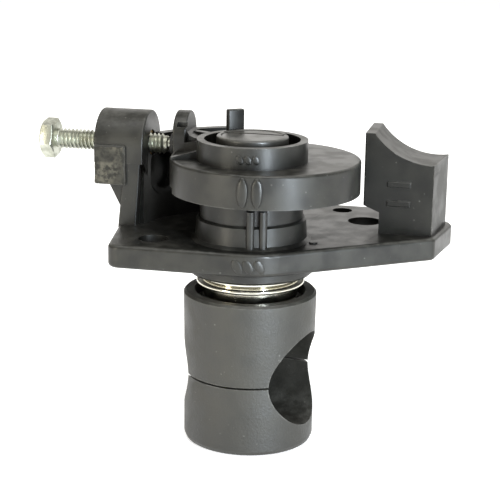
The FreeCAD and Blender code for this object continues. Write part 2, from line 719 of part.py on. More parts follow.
def lug_body():
    """Upright lug that the stop pad meets, with its fins to the collar."""
    x1 = LUG_FACE_X + LUG_T
    zc = LUG_TOP - LUG_R
    lug = cyl_x(LUG_R, LUG_FACE_X, x1, LUG_Y, zc)
    lug = lug.fuse(box(LUG_FACE_X, x1, LUG_Y - LUG_R, LUG_Y + LUG_R, LUG_LOW, zc)).removeSplitter()
    lug = lug.makeFillet(0.5, [e for e in lug.Edges if e.BoundBox.ZMax > zc + 1 and e.BoundBox.XLength < 0.01])
    foot = ROTOR_LOW + ROTOR_H - 1
    fins = []
    for y0, drop in ((LUG_Y - LUG_R, 2.6), (LUG_Y + 1.0, 0.0)):
        pts = [
            V(x1 - 1, y0, foot),
            V(x1 - 1, y0, LUG_TOP - 6.4 - drop),
            V(-12.4, y0, COLLAR_TOP - 2.4),
            V(-12.4, y0, foot),
            V(x1 - 1, y0, foot),
        ]
        fins.append(Part.Face(Part.makePolygon(pts)).extrude(V(0, 2.6, 0)))
    flare = wedge_prism([
        (x1 - 0.5, foot),
        (x1 - 0.5, LUG_TOP - 5.0),
        (x1 + 0.7, LUG_TOP - 7.0),
        (x1 + 2.6, COLLAR_TOP - 2.6),
        (x1 + 3.4, foot),
    ], LUG_Y - 5.0, LUG_Y + 5.0)
    body = lug.fuse(fins).fuse(flare)
    slot = box(LUG_FACE_X + 1.3, x1 + 6, LUG_Y - LUG_R - 1, LUG_Y - LUG_R + 2.4,
               LUG_SLOT_Z, LUG_SLOT_Z + LUG_SLOT_H)
    return body.cut(slot)


def top_fin():
    """Low rib across the rotor top from the front left rim to the collar."""
    foot = ROTOR_LOW + ROTOR_H - 1
    rib = Part.Face(Part.makePolygon([
        V(12.0, -1.0, foot), V(12.0, -1.0, foot + 4.6), V(24.0, -1.0, foot + 1.6),
        V(24.0, -1.0, foot), V(12.0, -1.0, foot),
    ])).extrude(V(0, 2.0, 0))
    rib.rotate(ORIGIN, UP, 193)
    return rib


def rotor():
    low = ROTOR_LOW
    high = ROTOR_LOW + ROTOR_H
    disc = cyl(ROTOR_R, low, high, ROTOR_X, ROTOR_Y)
    disc = disc.makeFillet(ROTOR_ROUND, [e for e in disc.Edges if e.BoundBox.ZMin > high - 0.01])
    disc = disc.cut(rotor_core(low, high))
    body = disc.fuse(cyl(COLLAR_R, low + 2, COLLAR_TOP))
    body = body.fuse([lug_body(), top_fin()])
    well = cyl(COLLAR_BORE_R, WELL_FLOOR, COLLAR_TOP + 1)
    body = body.cut(well)
    hole = cyl(SHAFT_D / 2 + RUN, low - 1, WELL_FLOOR + 1)
    hole = hole.common(box(-9, 9, -FLATS_AF / 2 - RUN, FLATS_AF / 2 + RUN, low - 1, WELL_FLOOR + 1))
    body = body.cut(hole)
    slot = box(KEY_R_IN - 0.3, KEY_R_IN + KEY_T + 0.3, -KEY_W / 2 - 0.3, KEY_W / 2 + 0.3,
               low - 1, WELL_FLOOR + 1)
    slot.rotate(ORIGIN, UP, KEY_ANGLE)
    step = sector(ROTOR_R + 12, ROTOR_R - 5, 165, 200, low - 1, low + 1.6)
    return body.cut(slot).cut(step).removeSplitter()


def index_key():
    x0 = KEY_R_IN
    x1 = KEY_R_IN + KEY_T
    blade = box(x0, x1, -KEY_W / 2, KEY_W / 2, KEY_FOOT, KEY_TOP)
    blade = blade.makeChamfer(0.5, [e for e in blade.Edges if e.BoundBox.ZMin > KEY_TOP - 0.01])
    z0 = WELL_FLOOR + FACE
    shoulder = box(x0, x1, -KEY_SHOULDER_W / 2, KEY_SHOULDER_W / 2, z0, z0 + KEY_SHOULDER_H)
    body = blade.fuse(shoulder).removeSplitter()
    body.rotate(ORIGIN, UP, KEY_ANGLE)
    return body


def disc_springs():
    """Conical discs stacked point to point on a flat seat, each a separate solid."""
    bore = SHAFT_D / 2 + RUN
    z0 = WELL_FLOOR
    solids = [ring(SPRING_R, bore, z0, z0 + SPRING_SEAT_T)]
    z0 = z0 + SPRING_SEAT_T
    for i in range(SPRING_COUNT):
        low, high = (0, SPRING_RISE) if i % 2 == 0 else (SPRING_RISE, 0)
        solids.append(turned([
            (bore, z0 + high),
            (SPRING_R, z0 + low),
            (SPRING_R, z0 + low + SPRING_T),
            (bore, z0 + high + SPRING_T),
        ]))
        z0 = z0 + SPRING_RISE + SPRING_T
    return Part.makeCompound(solids)


def pressure_washer():
    z1 = NUT_TOP - NUT_H - FACE
    return ring(PRESS_R, SHAFT_D / 2 + RUN, z1 - PRESS_T, z1)


def tension_nut():
    z0 = NUT_TOP - NUT_H
    nut = cyl(NUT_R, z0, NUT_TOP)
    nut = nut.makeFillet(0.5, [e for e in nut.Edges if e.BoundBox.ZMin > NUT_TOP - 0.01])
    nut = nut.cut(cyl(SHAFT_D / 2 + RUN, z0 - 1, SHAFT_TOP + 0.4))
    return nut.cut(box(-NUT_R - 1, NUT_R + 1, NUT_SLOT_Y - NUT_SLOT_W / 2, NUT_SLOT_Y + NUT_SLOT_W / 2,
                       NUT_TOP - NUT_SLOT_DEEP, NUT_TOP + 1))


def turned_to_rest(shape):
    """The plate, the rotor and all they carry sit turned from the bore."""
    shape.rotate(ORIGIN, UP, REST_ANGLE)
    return shape


def main():
    os.makedirs("parts", exist_ok=True)
    straight = {
        "upper_jaw": upper_jaw(),
        "lower_jaw": lower_jaw(),
        "jaw_inserts": jaw_inserts(),
        "clamp_washers": clamp_washers(),
        "clamp_screw_front": clamp_screw(-1),
        "clamp_screw_rear": clamp_screw(1),
    }
    angled = {
        "spindle": spindle(),
        "thrust_washer": thrust_washer(),
        "flange_ring": flange_ring(),
        "base_plate": base_plate(),
        "hub_bush": hub_bush(),
        "rotor_washer": rotor_washer(),
        "rotor": rotor(),
        "index_key": index_key(),
        "disc_springs": disc_springs(),
        "pressure_washer": pressure_washer(),
        "tension_nut": tension_nut(),
        "saddle": saddle(),
        "saddle_screws": saddle_screws(),
        "screw_insert": screw_insert(),
        "stop_screw": stop_screw(),
        "stop_pad": stop_pad(),
    }
    nodes = dict(straight)
    for name, shape in angled.items():
        nodes[name] = turned_to_rest(shape)
    for name, shape in nodes.items():
        shape.exportStep("parts/" + name + ".step")
        print(name, "valid", shape.isValid(), "solids", len(shape.Solids), "volume", round(shape.Volume, 1))


if __name__ == "__main__":
    main()
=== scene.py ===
"""Looks for a swivel bracket with a split tube clamp.

Every class below is one sub-assembly or one finish. Lengths are metres, +Z is up
the swivel axis and +X is along the tube bore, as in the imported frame.
"""

import json
import logging
import math
from dataclasses import dataclass, field
from enum import Enum

import bpy
from mathutils import Matrix, Vector


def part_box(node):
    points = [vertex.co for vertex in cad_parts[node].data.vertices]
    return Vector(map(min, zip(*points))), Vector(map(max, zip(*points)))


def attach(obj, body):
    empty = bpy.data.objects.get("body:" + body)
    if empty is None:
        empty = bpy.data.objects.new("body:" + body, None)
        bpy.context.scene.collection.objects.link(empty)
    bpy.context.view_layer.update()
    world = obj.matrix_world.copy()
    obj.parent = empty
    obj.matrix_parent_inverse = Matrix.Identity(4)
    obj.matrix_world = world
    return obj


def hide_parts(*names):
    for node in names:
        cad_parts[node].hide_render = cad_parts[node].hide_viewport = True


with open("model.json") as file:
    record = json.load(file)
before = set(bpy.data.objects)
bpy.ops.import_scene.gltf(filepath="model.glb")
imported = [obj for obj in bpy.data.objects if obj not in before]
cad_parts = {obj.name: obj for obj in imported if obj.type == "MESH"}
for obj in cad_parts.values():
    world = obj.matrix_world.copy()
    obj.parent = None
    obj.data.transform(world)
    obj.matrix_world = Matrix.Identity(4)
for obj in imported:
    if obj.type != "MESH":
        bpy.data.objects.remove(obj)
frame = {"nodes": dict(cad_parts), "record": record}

log = logging.getLogger("bracket")
MM = 0.001
Socket = bpy.types.NodeSocket
Colour = tuple[float, float, float]
Ring = tuple[float, float]
# Near-black colour of the painted shade laid into sheltered corners.
SHADE_DARK = (0.004, 0.004, 0.0035)
REST_TURN = math.radians(14.0)


class Body(Enum):
    """Moving bodies that new pieces ride on."""

    CLAMP = "clamp"
    PLATE = "plate"
    STOP_BOLT = "stop_bolt"
    TENSION_CAP = "tension_cap"
    KEY = "key"
    FRONT_SCREW = "front_screw"
    REAR_SCREW = "rear_screw"


class Slot(Enum):
    """Material slots of the record."""

    NYLON = "black_nylon"
    CAP = "black_cap"
    BRASS = "insert_brass"
    ZINC = "zinc_steel"
    SPRING = "dark_steel"
    CHROME = "bright_chrome"
    ACETAL = "acetal"
    RUBBER = "pad_rubber"


# ---------------------------------------------------------------- node helpers


def node_in(tree: bpy.types.NodeTree, kind: str, **values: object) -> bpy.types.Node:
    """Adds a node and sets its plain properties.

    Args:
        tree: tree the node goes in.
        kind: node type name.
        values: properties by name.

    Returns:
        The new node.
    """
    made = tree.nodes.new(kind)
    for name, value in values.items():
        setattr(made, name, value)
    return made


def math_node(tree: bpy.types.NodeTree, op: str, a: Socket | float,
              b: Socket | float | None = None, clamp: bool = False) -> Socket:
    """Adds a math node fed by sockets or numbers.

    Args:
        tree: tree the node goes in.
        op: operation name.
        a: first input.
        b: second input, if the operation has one.
        clamp: keeps the result between 0 and 1.

    Returns:
        The output socket.
    """
    made = node_in(tree, "ShaderNodeMath", operation=op, use_clamp=clamp)
    for index, value in enumerate((a, b)):
        if value is None:
            continue
        if isinstance(value, (int, float)):
            made.inputs[index].default_value = value
        else:
            tree.links.new(value, made.inputs[index])
    return made.outputs[0]


def ramp_between(tree: bpy.types.NodeTree, value: Socket, low: float, high: float,
                 to_low: float = 0.0, to_high: float = 1.0) -> Socket:
    """Maps a value from one range to another, clamped.

    Args:
        tree: tree the node goes in.
        value: input socket.
        low: input value that gives to_low.
        high: input value that gives to_high.
        to_low: lowest result.
        to_high: highest result.

    Returns:
        The output socket.
    """
    made = node_in(tree, "ShaderNodeMapRange", interpolation_type="SMOOTHSTEP")
    tree.links.new(value, made.inputs["Value"])
    made.inputs["From Min"].default_value = low
    made.inputs["From Max"].default_value = high
    made.inputs["To Min"].default_value = to_low
    made.inputs["To Max"].default_value = to_high
    return made.outputs["Result"]


def noise(tree: bpy.types.NodeTree, vector: Socket, scale: Socket | float, detail: float = 4.0,
          rough: float = 0.55) -> Socket:
    """Adds a noise texture and returns its value socket.

    Args:
        tree: tree the node goes in.
        vector: coordinate socket.
        scale: number or socket.
        detail: octaves.
        rough: roughness of the octaves.

    Returns:
        The value socket.
    """
    made = node_in(tree, "ShaderNodeTexNoise", noise_dimensions="3D")
    tree.links.new(vector, made.inputs["Vector"])
    if isinstance(scale, (int, float)):
        made.inputs["Scale"].default_value = scale
    else:
        tree.links.new(scale, made.inputs["Scale"])
    made.inputs["Detail"].default_value = detail
    made.inputs["Roughness"].default_value = rough
    return made.outputs[0]


class EffectGroups:
    """Shared shader effects, each built once as a node group."""

    def __init__(self) -> None:
        """Builds every group."""
        self.grain = self._grain()
        self.edge = self._edge()
        self.dust = self._dust()
        self.scratch = self._scratch()
        self.turned = self._turned()
        self.mottle = self._mottle()
        self.painted_shade = self._painted_shade()
        self.flecks = self._flecks()

    @staticmethod
    def _group(name: str, inputs: dict[str, float | None], outputs: list[str]) -> tuple:
        """Starts a group with named sockets.

        Args:
            name: group name.
            inputs: default by socket name, or None for a vector.
            outputs: value outputs.

        Returns:
            The tree, its input node and its output node.
        """
        tree = bpy.data.node_groups.new(name, "ShaderNodeTree")
        for title, default in inputs.items():
            kind = "NodeSocketVector" if default is None else "NodeSocketFloat"
            made = tree.interface.new_socket(name=title, in_out="INPUT", socket_type=kind)
            if default is not None:
                made.default_value = default
        for title in outputs:
            tree.interface.new_socket(name=title, in_out="OUTPUT", socket_type="NodeSocketFloat")
        return tree, tree.nodes.new("NodeGroupInput"), tree.nodes.new("NodeGroupOutput")

    @staticmethod
    def _finish(tree: bpy.types.NodeTree, start: bpy.types.Node, end: bpy.types.Node, mask: Socket) -> None:
        """Scales a mask by the group's Amount and sends it out.

        Args:
            tree: tree of the group.
            start: its input node.
            end: its output node.
            mask: mask before scaling.
        """
        scaled = math_node(tree, "MULTIPLY", mask, start.outputs["Amount"], True)
        tree.links.new(scaled, end.inputs["Mask"])

    def _grain(self) -> bpy.types.NodeTree:
        """Fine moulded grain over slow waviness.

        Returns:
            The group.
        """
        tree, start, end = self._group(
            "Moulded grain", {"Vector": None, "Fine": 3200.0, "Coarse": 140.0, "Wave": 0.35},
            ["Height", "Tone"])
        fine = noise(tree, start.outputs["Vector"], start.outputs["Fine"], 3.0, 0.6)
        coarse = noise(tree, start.outputs["Vector"], start.outputs["Coarse"], 3.0, 0.5)
        lifted = math_node(tree, "MULTIPLY", coarse, start.outputs["Wave"])
        tree.links.new(math_node(tree, "ADD", fine, lifted), end.inputs["Height"])
        tree.links.new(ramp_between(tree, coarse, 0.32, 0.7), end.inputs["Tone"])
        return tree

    def _edge(self) -> bpy.types.NodeTree:
        """Mask that is high where an edge is sharp, broken up by noise.

        Returns:
            The group.
        """
        tree, start, end = self._group(
            "Edge wear", {"Vector": None, "Radius": 0.0005, "Breakup": 420.0, "Amount": 0.6}, ["Mask"])
        bevel = node_in(tree, "ShaderNodeBevel", samples=4)
        tree.links.new(start.outputs["Radius"], bevel.inputs["Radius"])
        geometry = node_in(tree, "ShaderNodeNewGeometry")
        dot = node_in(tree, "ShaderNodeVectorMath", operation="DOT_PRODUCT")
        tree.links.new(bevel.outputs["Normal"], dot.inputs[0])
        tree.links.new(geometry.outputs["Normal"], dot.inputs[1])
        sharp = ramp_between(tree, dot.outputs["Value"], 0.995, 0.86)
        speckle = noise(tree, start.outputs["Vector"], start.outputs["Breakup"])
        broken = ramp_between(tree, speckle, 0.36, 0.62)
        both = math_node(tree, "MULTIPLY", sharp, broken)
        self._finish(tree, start, end, both)
        return tree

    def _dust(self) -> bpy.types.NodeTree:
        """Mask of dust lying on faces that look up.

        Returns:
            The group.
        """
        tree, start, end = self._group(
            "Settled dust", {"Vector": None, "Scale": 260.0, "Amount": 0.4}, ["Mask"])
        geometry = node_in(tree, "ShaderNodeNewGeometry")
        split = node_in(tree, "ShaderNodeSeparateXYZ")
        tree.links.new(geometry.outputs["Normal"], split.inputs[0])
        up = ramp_between(tree, split.outputs["Z"], 0.35, 0.95)
        cloud = noise(tree, start.outputs["Vector"], start.outputs["Scale"], 6.0, 0.65)
        patch = ramp_between(tree, cloud, 0.38, 0.7)
        both = math_node(tree, "MULTIPLY", up, patch)
        self._finish(tree, start, end, both)
        return tree

    def _scratch(self) -> bpy.types.NodeTree:
        """Mask of fine handling marks in two directions.

        Returns:
            The group.
        """
        tree, start, end = self._group(
            "Handling marks", {"Vector": None, "Scale": 90.0, "Amount": 0.5}, ["Mask"])
        total = None
        for turn, stretch in ((0.5, 0.06), (-0.9, 0.09)):
            mapping = node_in(tree, "ShaderNodeMapping")
            mapping.inputs["Rotation"].default_value = (0.3, turn, turn)
            mapping.inputs["Scale"].default_value = (1.0, stretch, 1.0)
            tree.links.new(start.outputs["Vector"], mapping.inputs["Vector"])
            streak = noise(tree, mapping.outputs[0], start.outputs["Scale"], 8.0, 0.75)
            line = ramp_between(tree, streak, 0.60, 0.68)
            total = line if total is None else math_node(tree, "MAXIMUM", total, line)
        self._finish(tree, start, end, total)
        return tree

    def _turned(self) -> bpy.types.NodeTree:
        """Height of fine lathe rings about the swivel axis.

        Returns:
            The group.
        """
        tree, start, end = self._group("Lathe rings", {"Vector": None, "Pitch": 0.00035}, ["Height"])
        split = node_in(tree, "ShaderNodeSeparateXYZ")
        tree.links.new(start.outputs["Vector"], split.inputs[0])
        xx = math_node(tree, "POWER", split.outputs["X"], 2.0)
        yy = math_node(tree, "POWER", split.outputs["Y"], 2.0)
        radius = math_node(tree, "SQRT", math_node(tree, "ADD", xx, yy))
        along = math_node(tree, "ADD", radius, split.outputs["Z"])
        turns = math_node(tree, "DIVIDE", along, start.outputs["Pitch"])
        wave = math_node(tree, "SINE", math_node(tree, "MULTIPLY", turns, 2 * math.pi))
        tree.links.new(math_node(tree, "MULTIPLY", wave, 0.5), end.inputs["Height"])
        return tree

    def _mottle(self) -> bpy.types.NodeTree:
        """Cloudy patches with small pits.

        Returns:
            The group.
        """
        tree, start, end = self._group(
            "Mottled skin", {"Vector": None, "Cloud": 210.0, "Pit": 1500.0}, ["Mask", "Height"])
        cloud = noise(tree, start.outputs["Vector"], start.outputs["Cloud"], 5.0, 0.6)
        cells = node_in(tree, "ShaderNodeTexVoronoi", feature="F1")
        tree.links.new(start.outputs["Vector"], cells.inputs["Vector"])
        tree.links.new(start.outputs["Pit"], cells.inputs["Scale"])
        pits = ramp_between(tree, cells.outputs["Distance"], 0.1, 0.5)
        tree.links.new(ramp_between(tree, cloud, 0.38, 0.62), end.inputs["Mask"])
        pitted = math_node(tree, "ADD", cloud, math_node(tree, "MULTIPLY", pits, 0.4))
        tree.links.new(pitted, end.inputs["Height"])
        return tree

    def _flecks(self) -> bpy.types.NodeTree:
        """Mask of small sparse flecks.

        Returns:
            The group.
        """
        tree, start, end = self._group(
            "Pale flecks", {"Vector": None, "Scale": 620.0, "Amount": 0.6}, ["Mask"])
        cells = node_in(tree, "ShaderNodeTexVoronoi", feature="F1")
        tree.links.new(start.outputs["Vector"], cells.inputs["Vector"])
        tree.links.new(start.outputs["Scale"], cells.inputs["Scale"])
        near = ramp_between(tree, cells.outputs["Distance"], 0.22, 0.10)
        rare = ramp_between(tree, noise(tree, start.outputs["Vector"], 480.0, 2.0), 0.56, 0.66)
        both = math_node(tree, "MULTIPLY", near, rare)
        self._finish(tree, start, end, both)
        return tree

    def _painted_shade(self) -> bpy.types.NodeTree:
        """Painted shade: mask that is high in sheltered corners, found by ambient occlusion, broken up by
        noise.

        Returns:
            The group.
        """
        tree, start, end = self._group(
            "Painted AO shade", {"Vector": None, "Reach": 0.030, "Scale": 300.0, "Amount": 0.8},
            ["Mask"])
        shelter = node_in(tree, "ShaderNodeAmbientOcclusion", samples=6)
        tree.links.new(start.outputs["Reach"], shelter.inputs["Distance"])
        deep = ramp_between(tree, shelter.outputs["AO"], 0.92, 0.50)
        cloud = noise(tree, start.outputs["Vector"], start.outputs["Scale"])
        patch = ramp_between(tree, cloud, 0.25, 0.6, 0.6, 1.0)
        both = math_node(tree, "MULTIPLY", deep, patch)
        self._finish(tree, start, end, both)
        return tree


class Shader:
    """One material under construction."""

    def __init__(self, name: str, effects: EffectGroups) -> None:
        """Starts the material.

        Args:
            name: material name.
            effects: shared groups.
        """
        self.material = bpy.data.materials.new(name)
        self.material.use_nodes = True
        self.tree = self.material.node_tree
        self.effects = effects
        self.bsdf = next(n for n in self.tree.nodes if n.type == "BSDF_PRINCIPLED")
        self.place = node_in(self.tree, "ShaderNodeTexCoord").outputs["Object"]

    def effect(self, group: bpy.types.NodeTree, **values: float) -> bpy.types.Node:
        """Adds a shared effect.

        Args:
            group: the node group.
            values: input numbers by socket name.

        Returns:
            The group node.
        """
        made = node_in(self.tree, "ShaderNodeGroup", node_tree=group)
        self.tree.links.new(self.place, made.inputs["Vector"])
        for name, value in values.items():
            made.inputs[name].default_value = value
        return made

    def blend(self, factor: Socket, base: Socket | Colour, over: Colour) -> Socket:
        """Mixes a colour over another by a mask.

        Args:
            factor: mask socket.
            base: colour socket or colour.
            over: colour laid on top.

        Returns:
            The mixed colour socket.
        """
        mix = node_in(self.tree, "ShaderNodeMix", data_type="RGBA")
        self.tree.links.new(factor, mix.inputs[0])
        if isinstance(base, tuple):
            mix.inputs[6].default_value = (*base, 1.0)
        else:
            self.tree.links.new(base, mix.inputs[6])
        mix.inputs[7].default_value = (*over, 1.0)
        return mix.outputs[2]

    def bump(self, heights: list[tuple[Socket, float]], distance: float) -> None:
        """Feeds one bump after another into the surface.

        Args:
            heights: height sockets with strengths.
            distance: bump distance in metres.
        """
        normal = None
        for socket, strength in heights:
            made = node_in(self.tree, "ShaderNodeBump")
            made.inputs["Strength"].default_value = strength
            made.inputs["Distance"].default_value = distance
            self.tree.links.new(socket, made.inputs["Height"])
            if normal is not None:
                self.tree.links.new(normal, made.inputs["Normal"])
            normal = made.outputs["Normal"]
        self.tree.links.new(normal, self.bsdf.inputs["Normal"])

    def wire(self, socket: Socket, name: str) -> None:
        """Links a socket to an input of the surface.

        Args:
            socket: source.
            name: input name.
        """
        self.tree.links.new(socket, self.bsdf.inputs[name])


@dataclass(frozen=True)
class MouldedPlastic:
    """Satin black glass-filled nylon, worn pale on its edges, with painted shade darkening its sheltered
    corners.
    """

    name: str
    colour: Colour = (0.021, 0.0205, 0.0185)
    patch: Colour = (0.034, 0.032, 0.027)
    worn: Colour = (0.115, 0.112, 0.102)
    dust: Colour = (0.21, 0.205, 0.185)
    rough: float = 0.40
    dust_amount: float = 0.28
    wear: float = 0.55
    grain: float = 0.22
    # Strength of the painted shade: near-black laid into sheltered corners.
    painted_shade: float = 1.0
    gloss: float = 0.5
    flecks: float = 0.25
    fine: float = 3200.0

    def build(self, effects: EffectGroups) -> bpy.types.Material:
        """Makes the material.

        Args:
            effects: shared groups.

        Returns:
            The material.
        """
        s = Shader(self.name, effects)
        grain = s.effect(effects.grain, Fine=self.fine)
        edge = s.effect(effects.edge, Amount=self.wear)
        dust = s.effect(effects.dust, Amount=self.dust_amount)
        marks = s.effect(effects.scratch, Amount=0.5)
        colour = s.blend(grain.outputs["Tone"], self.colour, self.patch)
        colour = s.blend(edge.outputs["Mask"], colour, self.worn)
        colour = s.blend(dust.outputs["Mask"], colour, self.dust)
        flecks = s.effect(effects.flecks, Amount=self.flecks)
        colour = s.blend(flecks.outputs["Mask"], colour, self.dust)
        # Painted shade: the colour is darkened towards near-black in sheltered corners, found by ambient
        # occlusion and broken up by noise.
        painted_shade = s.effect(effects.painted_shade, Amount=self.painted_shade)
        colour = s.blend(painted_shade.outputs["Mask"], colour, SHADE_DARK)
        s.wire(colour, "Base Color")
        s.bsdf.inputs["Specular IOR Level"].default_value = self.gloss
        base = ramp_between(s.tree, grain.outputs["Tone"], 0.0, 1.0, self.rough - 0.05, self.rough + 0.06)
        marked = math_node(s.tree, "MULTIPLY", marks.outputs["Mask"], 0.12)
        dusty = math_node(s.tree, "MULTIPLY", dust.outputs["Mask"], 0.25)
        total = math_node(s.tree, "ADD", math_node(s.tree, "ADD", base, marked), dusty, True)
        s.wire(total, "Roughness")
        s.bsdf.inputs["IOR"].default_value = 1.54
        s.bump([(grain.outputs["Height"], self.grain)], 0.00006)
        return s.material


@dataclass(frozen=True)
class RoughSkin:
    """Rough grey skin of the block under the screw boss."""

    name: str
    colour: Colour = (0.014, 0.013, 0.010)
    pale: Colour = (0.070, 0.064, 0.048)
    rough: float = 0.72

    def build(self, effects: EffectGroups) -> bpy.types.Material:
        """Makes the material.

        Args:
            effects: shared groups.

        Returns:
            The material.
        """
        s = Shader(self.name, effects)
        skin = s.effect(effects.mottle, Cloud=520.0, Pit=2400.0)
        edge = s.effect(effects.edge, Amount=0.3)
        s.bsdf.inputs["Specular IOR Level"].default_value = 0.28
        cloud = noise(s.tree, s.place, 170.0, 2.0, 0.4)
        patch = ramp_between(s.tree, cloud, 0.42, 0.58, 0.25, 1.0)
        rubbed = math_node(s.tree, "MULTIPLY", skin.outputs["Mask"], patch)
        colour = s.blend(rubbed, self.colour, self.pale)
        colour = s.blend(edge.outputs["Mask"], colour, self.pale)
        s.wire(colour, "Base Color")
        rough = ramp_between(s.tree, skin.outputs["Mask"], 0.0, 1.0, self.rough, self.rough - 0.2)
        s.wire(rough, "Roughness")
        s.bump([(skin.outputs["Height"], 0.8)], 0.00012)
        return s.material


@dataclass(frozen=True)
class Metal:
    """Plated or plain metal with lathe rings, stains and worn edges."""

    name: str
    colour: Colour
    stain: Colour
    rough: float
    rings: float = 0.1
    stain_scale: float = 380.0
    wear: Colour = (0.75, 0.74, 0.70)
    wear_amount: float = 0.4

    def build(self, effects: EffectGroups) -> bpy.types.Material:
        """Makes the material.

        Args:
            effects: shared groups.

        Returns:
            The material.
        """
        s = Shader(self.name, effects)
        skin = s.effect(effects.mottle, Cloud=self.stain_scale, Pit=2600.0)
        edge = s.effect(effects.edge, Amount=self.wear_amount, Radius=0.0003)
        marks = s.effect(effects.scratch, Amount=0.7, Scale=160.0)
        rings = s.effect(effects.turned)
        stained = math_node(s.tree, "MULTIPLY", skin.outputs["Mask"], 0.55)
        colour = s.blend(stained, self.colour, self.stain)
        colour = s.blend(edge.outputs["Mask"], colour, self.wear)
        s.wire(colour, "Base Color")
        s.bsdf.inputs["Metallic"].default_value = 1.0
        base = ramp_between(s.tree, skin.outputs["Mask"], 0.0, 1.0, self.rough, self.rough + 0.10)
        marked = math_node(s.tree, "MULTIPLY", marks.outputs["Mask"], 0.16)
        s.wire(math_node(s.tree, "ADD", base, marked, True), "Roughness")
        s.bump([(rings.outputs["Height"], self.rings), (skin.outputs["Height"], 0.12)], 0.00004)
        return s.material


@dataclass(frozen=True)
class StudioPaper:
    """Near-white paper for the floor."""

    name: str = "studio_paper"
    colour: Colour = (0.90, 0.90, 0.895)

    def build(self, effects: EffectGroups) -> bpy.types.Material:
        """Makes the material.

        Args:
            effects: shared groups.

        Returns:
            The material.
        """
        s = Shader(self.name, effects)
        grain = s.effect(effects.grain, Fine=900.0, Coarse=8.0)
        s.wire(s.blend(grain.outputs["Tone"], self.colour, (0.88, 0.88, 0.875)), "Base Color")
        s.bsdf.inputs["Roughness"].default_value = 0.9
        s.bsdf.inputs["Emission Color"].default_value = (1.0, 1.0, 1.0, 1.0)
        s.bsdf.inputs["Emission Strength"].default_value = 0.62
        s.bump([(grain.outputs["Height"], 0.05)], 0.0001)
        return s.material


class Finishes:
    """All finishes, built once and handed out by slot."""

    def __init__(self) -> None:
        """Builds each material."""
        effects = EffectGroups()
        # The shade strengths below set how far painted shade darkens the sheltered corners of each plastic.
        self.by_slot = {
            Slot.NYLON: MouldedPlastic(
                "moulded_nylon", colour=(0.010, 0.0097, 0.0085), patch=(0.021, 0.020, 0.0165),
                rough=0.36, dust_amount=0.2, gloss=0.3, painted_shade=0.95).build(effects),
            Slot.CAP: MouldedPlastic(
                "cap_plastic", colour=(0.030, 0.029, 0.026), dust_amount=0.42,
                rough=0.36, painted_shade=0.6).build(effects),
            Slot.BRASS: Metal(
                "insert_brass", (0.62, 0.45, 0.20), (0.32, 0.22, 0.10), 0.30).build(effects),
            Slot.ZINC: Metal(
                "zinc_plate", (0.50, 0.51, 0.44), (0.24, 0.245, 0.19), 0.33,
                wear=(0.85, 0.85, 0.82)).build(effects),
            Slot.SPRING: Metal(
                "spring_steel", (0.20, 0.20, 0.20), (0.10, 0.09, 0.08), 0.38).build(effects),
            Slot.CHROME: Metal(
                "chrome_plate", (0.74, 0.72, 0.64), (0.50, 0.46, 0.36), 0.10, rings=0.02,
                stain_scale=160.0, wear_amount=0.1).build(effects),
            Slot.ACETAL: MouldedPlastic(
                "acetal", colour=(0.52, 0.51, 0.46), patch=(0.46, 0.45, 0.40),
                worn=(0.66, 0.65, 0.60), dust_amount=0.1).build(effects),
            Slot.RUBBER: MouldedPlastic(
                "pad_rubber", colour=(0.012, 0.012, 0.012), patch=(0.02, 0.02, 0.019),
                worn=(0.05, 0.05, 0.05), rough=0.62, dust_amount=0.2, grain=0.4).build(effects),
        }
        self.clamp = MouldedPlastic(
            "jaw_nylon", colour=(0.0150, 0.0145, 0.0115), patch=(0.023, 0.0215, 0.0165),
            worn=(0.15, 0.145, 0.13), rough=0.50, grain=1.6, fine=1300.0, flecks=0.3,
            dust_amount=0.2, painted_shade=0.45).build(effects)
        # Darker copy of the nylon for the saddle, also used on the index key: partly the saddle's own
        # darker tone, partly painted shade standing for its dark front faces.
        self.saddle = MouldedPlastic(
            "saddle_nylon", colour=(0.007, 0.0068, 0.006), patch=(0.014, 0.0135, 0.011),
            worn=(0.16, 0.155, 0.14), rough=0.38, dust_amount=0.3, gloss=0.2).build(effects)
        self.skin = RoughSkin("rough_skin").build(effects)
        self.paper = StudioPaper().build(effects)


# ---------------------------------------------------------------- mesh helpers


def clear_selection() -> None:
    """Deselects everything, in object mode."""
    if bpy.context.object and bpy.context.object.mode != "OBJECT":
        bpy.ops.object.mode_set(mode="OBJECT")
    bpy.ops.object.select_all(action="DESELECT")


def make_active(piece: bpy.types.Object) -> None:
    """Selects one piece alone.

    Args:
        piece: the object.
    """
    clear_selection()
    piece.select_set(True)
    bpy.context.view_layer.objects.active = piece


def apply_all(piece: bpy.types.Object) -> None:
    """Applies every modifier.

    Args:
        piece: the object.
    """
    make_active(piece)
    for modifier in list(piece.modifiers):
        bpy.ops.object.modifier_apply(modifier=modifier.name)


def settle(piece: bpy.types.Object, angle: float = 35.0) -> bpy.types.Object:
    """Bakes the place into the mesh, merges doubles and smooths by angle.

    Args:
        piece: the object.
        angle: edges sharper than this stay crisp, in degrees.

    Returns:
        The same object.
    """
    apply_all(piece)
    bpy.ops.object.transform_apply(location=True, rotation=True, scale=True)
    bpy.ops.object.mode_set(mode="EDIT")
    bpy.ops.mesh.select_all(action="SELECT")
    bpy.ops.mesh.remove_doubles(threshold=0.000002)
    bpy.ops.mesh.normals_make_consistent(inside=False)
    bpy.ops.object.mode_set(mode="OBJECT")
    bpy.ops.object.shade_smooth_by_angle(angle=math.radians(angle))
    return piece


